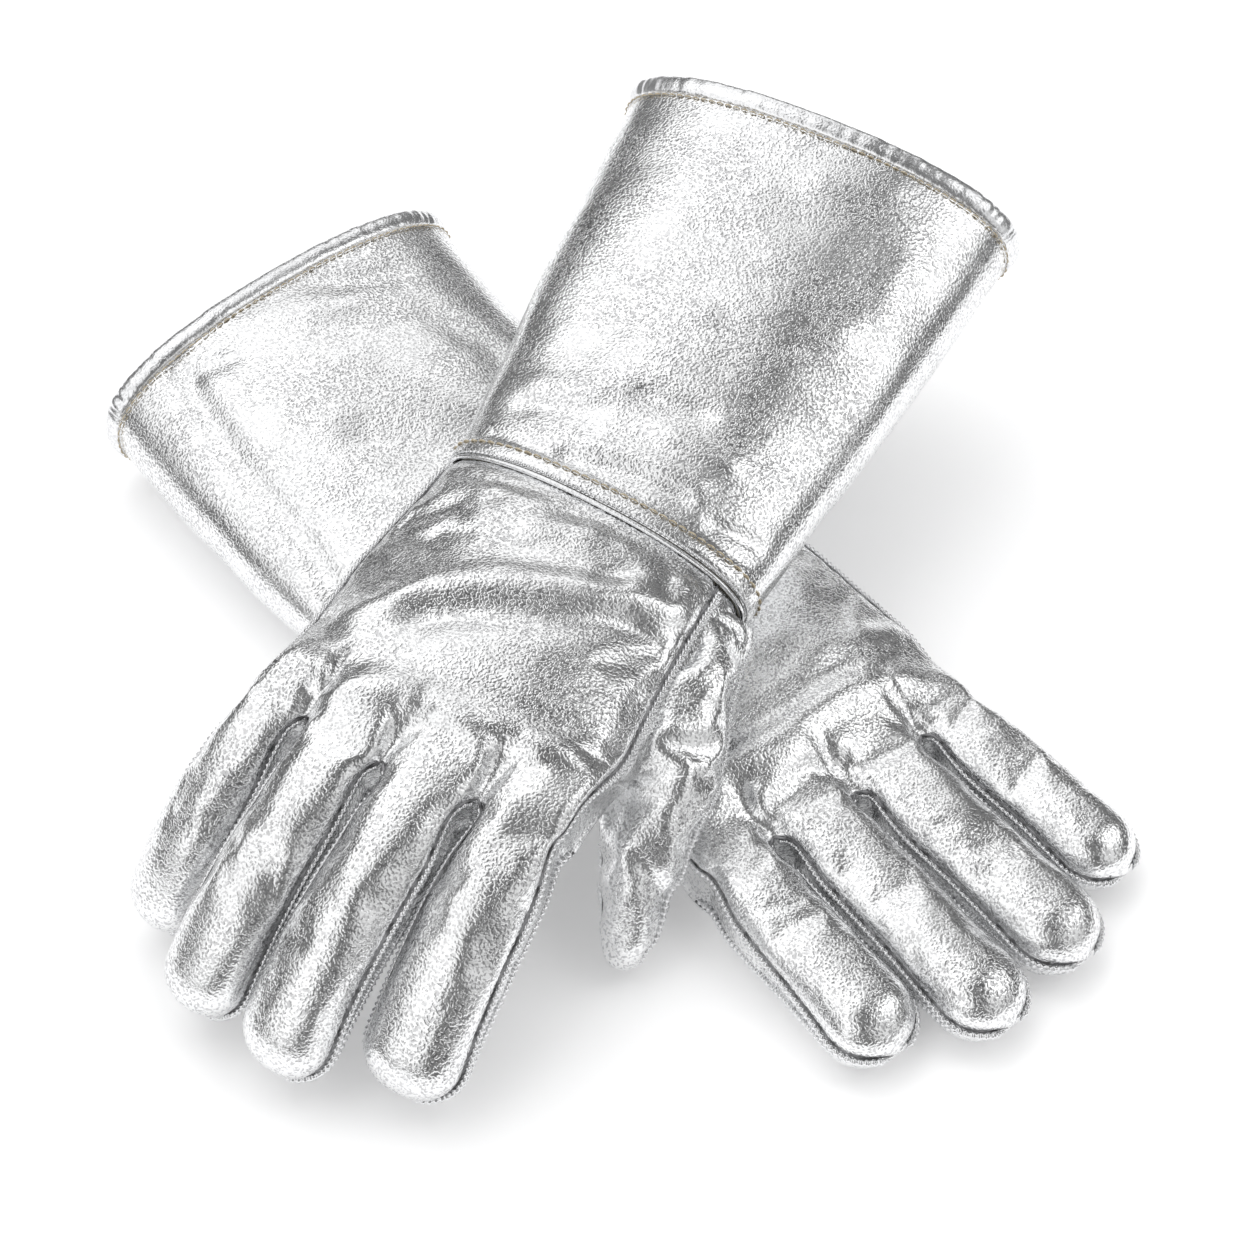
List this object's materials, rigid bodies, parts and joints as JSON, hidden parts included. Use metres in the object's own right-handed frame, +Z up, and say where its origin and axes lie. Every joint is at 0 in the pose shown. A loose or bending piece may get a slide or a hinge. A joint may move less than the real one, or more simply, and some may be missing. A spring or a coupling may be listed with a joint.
{
  "type": "cryogenic gloves",
  "caption": "Pair of padded silver gauntlet gloves, one lying across the other, with flared cuffs, piped wrist seams and stitched fingers.",
  "frame": {"origin": "middle of the footprint on the surface that the pair lies on", "axes": "+Z up; +Y from the fingertips towards the cuffs; +X towards the left glove's fingertips"},
  "size_m": [0.3302, 0.36, 0.1121],
  "materials": {
    "silver_leather": "grained leather faced with a bright silver metallic film",
    "seam_leather": "the same silver leather in narrow strips, creased along the stitching",
    "fleece_liner": "off-white insulating fleece"
  },
  "bodies": {
    "left_glove": {"left_hand_back": "silver_leather", "left_hand_palm": "silver_leather", "left_hand_liner": "fleece_liner", "left_wrist_piping": "seam_leather", "left_cuff_back": "silver_leather", "left_cuff_palm": "silver_leather", "left_cuff_lining": "fleece_liner", "left_cuff_binding": "seam_leather"},
    "left_index": {"left_index_back": "silver_leather", "left_index_front": "silver_leather", "left_index_liner": "fleece_liner", "left_index_fourchette_little_side": "seam_leather"},
    "left_middle": {"left_middle_back": "silver_leather", "left_middle_front": "silver_leather", "left_middle_liner": "fleece_liner", "left_middle_fourchette_thumb_side": "seam_leather", "left_middle_fourchette_little_side": "seam_leather"},
    "left_ring": {"left_ring_back": "silver_leather", "left_ring_front": "silver_leather", "left_ring_liner": "fleece_liner", "left_ring_fourchette_thumb_side": "seam_leather", "left_ring_fourchette_little_side": "seam_leather"},
    "left_little": {"left_little_back": "silver_leather", "left_little_front": "silver_leather", "left_little_liner": "fleece_liner", "left_little_fourchette_thumb_side": "seam_leather"},
    "left_thumb": {"left_thumb_back": "silver_leather", "left_thumb_front": "silver_leather", "left_thumb_liner": "fleece_liner"},
    "right_glove": {"right_hand_back": "silver_leather", "right_hand_palm": "silver_leather", "right_hand_liner": "fleece_liner", "right_wrist_piping": "seam_leather"},
    "right_cuff": {"right_cuff_back": "silver_leather", "right_cuff_palm": "silver_leather", "right_cuff_lining": "fleece_liner", "right_cuff_binding": "seam_leather"},
    "right_index": {"right_index_back": "silver_leather", "right_index_front": "silver_leather", "right_index_liner": "fleece_liner", "right_index_fourchette_little_side": "seam_leather"},
    "right_middle": {"right_middle_back": "silver_leather", "right_middle_front": "silver_leather", "right_middle_liner": "fleece_liner", "right_middle_fourchette_thumb_side": "seam_leather", "right_middle_fourchette_little_side": "seam_leather"},
    "right_ring": {"right_ring_back": "silver_leather", "right_ring_front": "silver_leather", "right_ring_liner": "fleece_liner", "right_ring_fourchette_thumb_side": "seam_leather", "right_ring_fourchette_little_side": "seam_leather"},
    "right_little": {"right_little_back": "silver_leather", "right_little_front": "silver_leather", "right_little_liner": "fleece_liner", "right_little_fourchette_thumb_side": "seam_leather"},
    "right_thumb": {"right_thumb_back": "silver_leather", "right_thumb_front": "silver_leather", "right_thumb_liner": "fleece_liner"}
  },
  "joints": [
    {"name": "right_glove_lift", "type": "slide", "parent": "left_glove", "child": "right_glove", "axis": [0, 0, 1], "range_m": [0, 0.2]},
    {"name": "left_index_lift", "type": "hinge", "parent": "left_glove", "child": "left_index", "pos_m": [0.04214, -0.09631, 0.02688], "axis": [-0.81, -0.5864, 0], "range_deg": [0, 50], "stiffness_Nm_per_rad": 0.3},
    {"name": "left_middle_lift", "type": "hinge", "parent": "left_glove", "child": "left_middle", "pos_m": [0.06772, -0.08205, 0.02688], "axis": [-0.7815, -0.6239, 0], "range_deg": [0, 50], "stiffness_Nm_per_rad": 0.3},
    {"name": "left_ring_lift", "type": "hinge", "parent": "left_glove", "child": "left_ring", "pos_m": [0.09123, -0.06227, 0.02648], "axis": [-0.7615, -0.6481, 0], "range_deg": [0, 50], "stiffness_Nm_per_rad": 0.3},
    {"name": "left_little_lift", "type": "hinge", "parent": "left_glove", "child": "left_little", "pos_m": [0.10947, -0.03954, 0.02548], "axis": [-0.7325, -0.6807, 0], "range_deg": [0, 50], "stiffness_Nm_per_rad": 0.3},
    {"name": "left_thumb_spread", "type": "hinge", "parent": "left_glove", "child": "left_thumb", "pos_m": [0.00081, -0.0377, 0.01448], "axis": [0, 0, -1], "range_deg": [0, 26], "stiffness_Nm_per_rad": 0.3},
    {"name": "right_index_lift", "type": "hinge", "parent": "right_glove", "child": "right_index", "pos_m": [-0.01692, -0.11448, 0.07144], "axis": [-0.8728, 0.4836, 0.0662], "range_deg": [0, 50], "stiffness_Nm_per_rad": 0.3},
    {"name": "right_middle_lift", "type": "hinge", "parent": "right_glove", "child": "right_middle", "pos_m": [-0.04594, -0.105, 0.07341], "axis": [-0.832, 0.5508, 0.0663], "range_deg": [0, 50], "stiffness_Nm_per_rad": 0.3},
    {"name": "right_ring_lift", "type": "hinge", "parent": "right_glove", "child": "right_ring", "pos_m": [-0.07099, -0.0912, 0.07491], "axis": [-0.802, 0.5937, 0.0661], "range_deg": [0, 50], "stiffness_Nm_per_rad": 0.3},
    {"name": "right_little_lift", "type": "hinge", "parent": "right_glove", "child": "right_little", "pos_m": [-0.09008, -0.07584, 0.07532], "axis": [-0.7175, 0.6935, 0.0648], "range_deg": [0, 50], "stiffness_Nm_per_rad": 0.3},
    {"name": "right_thumb_spread", "type": "hinge", "parent": "right_glove", "child": "right_thumb", "pos_m": [0.0323, -0.04693, 0.06734], "axis": [-0.5299, -0.848, 0], "range_deg": [0, 30], "stiffness_Nm_per_rad": 0.3},
    {"name": "right_cuff_lift", "type": "hinge", "parent": "right_glove", "child": "right_cuff", "pos_m": [0.00148, -0.00644, 0.08253], "axis": [0.8462, -0.5288, -0.0663], "range_deg": [0, 30], "stiffness_Nm_per_rad": 0.8}
  ]
}
